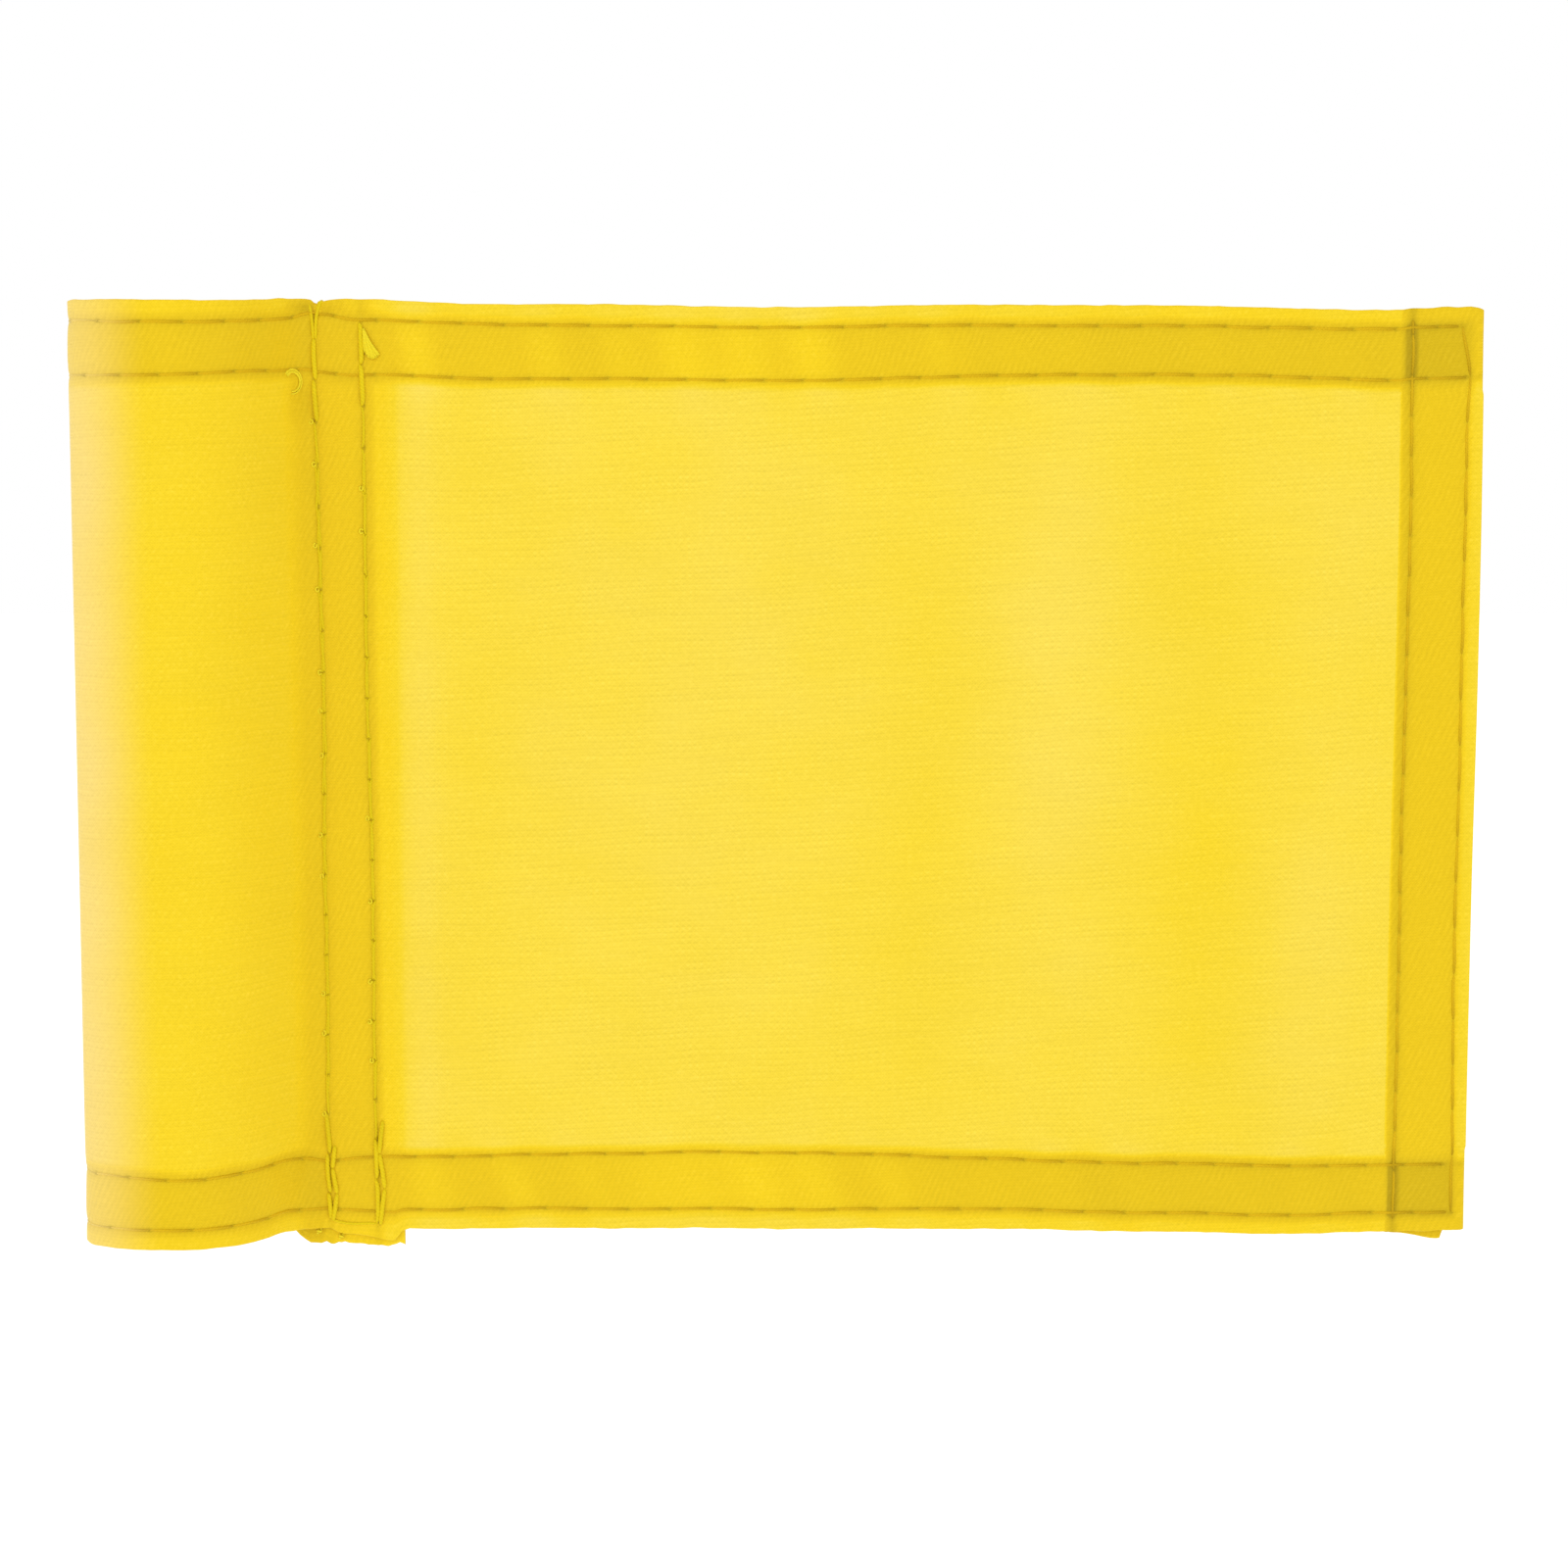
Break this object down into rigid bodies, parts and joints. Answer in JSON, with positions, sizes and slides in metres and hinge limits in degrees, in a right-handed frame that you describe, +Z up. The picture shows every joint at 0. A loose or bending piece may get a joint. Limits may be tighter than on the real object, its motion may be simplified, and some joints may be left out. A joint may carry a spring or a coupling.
{
  "type": "sleeved pin flag",
  "caption": "Small hemmed nylon flag with a pole sleeve on a rigid tube liner. The sleeve swivels on the liner and the fly flexes beside the sewn seam.",
  "frame": {"origin": "on the liner tube's axis at its bottom end, where the liner rests on the pole's collar", "axes": "+Z up the pole, +X from the pole to the fly edge, -Y is the flag's face"},
  "size_m": [0.2053, 0.0163, 0.137],
  "materials": {
    "flag_nylon": "plain-weave coated nylon, slightly translucent, satin",
    "sewing_thread": "twisted polyester thread, satin",
    "liner_plastic": "extruded white tube, matte"
  },
  "bodies": {
    "liner": {"pole_liner": "liner_plastic"},
    "sleeve": {"sleeve_cloth": "flag_nylon", "sleeve_top_hem": "flag_nylon", "sleeve_top_hem_outer_needle_thread": "sewing_thread", "sleeve_top_hem_outer_bobbin_thread": "sewing_thread", "sleeve_top_hem_inner_needle_thread": "sewing_thread", "sleeve_top_hem_inner_bobbin_thread": "sewing_thread", "sleeve_bottom_hem": "flag_nylon", "sleeve_bottom_hem_outer_needle_thread": "sewing_thread", "sleeve_bottom_hem_outer_bobbin_thread": "sewing_thread", "sleeve_bottom_hem_inner_needle_thread": "sewing_thread", "sleeve_bottom_hem_inner_bobbin_thread": "sewing_thread", "sleeve_seam_needle_thread": "sewing_thread", "sleeve_seam_bobbin_thread": "sewing_thread", "sleeve_seam_backtack_1": "sewing_thread", "sleeve_seam_backtack_2": "sewing_thread"},
    "fly": {"fly_panel": "flag_nylon", "fly_top_hem": "flag_nylon", "fly_top_hem_outer_needle_thread": "sewing_thread", "fly_top_hem_outer_bobbin_thread": "sewing_thread", "fly_top_hem_inner_needle_thread": "sewing_thread", "fly_top_hem_inner_bobbin_thread": "sewing_thread", "fly_bottom_hem": "flag_nylon", "fly_bottom_hem_outer_needle_thread": "sewing_thread", "fly_bottom_hem_outer_bobbin_thread": "sewing_thread", "fly_bottom_hem_inner_needle_thread": "sewing_thread", "fly_bottom_hem_inner_bobbin_thread": "sewing_thread", "fly_edge_hem": "flag_nylon", "fly_edge_hem_outer_needle_thread": "sewing_thread", "fly_edge_hem_outer_bobbin_thread": "sewing_thread", "fly_edge_hem_inner_needle_thread": "sewing_thread", "fly_edge_hem_inner_bobbin_thread": "sewing_thread"}
  },
  "joints": [
    {"name": "sleeve_swivel", "type": "hinge", "parent": "liner", "child": "sleeve", "pos_m": [0, 0, 0.0655], "axis": [0, 0, 1], "continuous": true},
    {"name": "fly_flex", "type": "hinge", "parent": "sleeve", "child": "fly", "pos_m": [0.0405, 0.00513, 0.0655], "axis": [0, 0, 1], "range_deg": [-85, 85]}
  ]
}
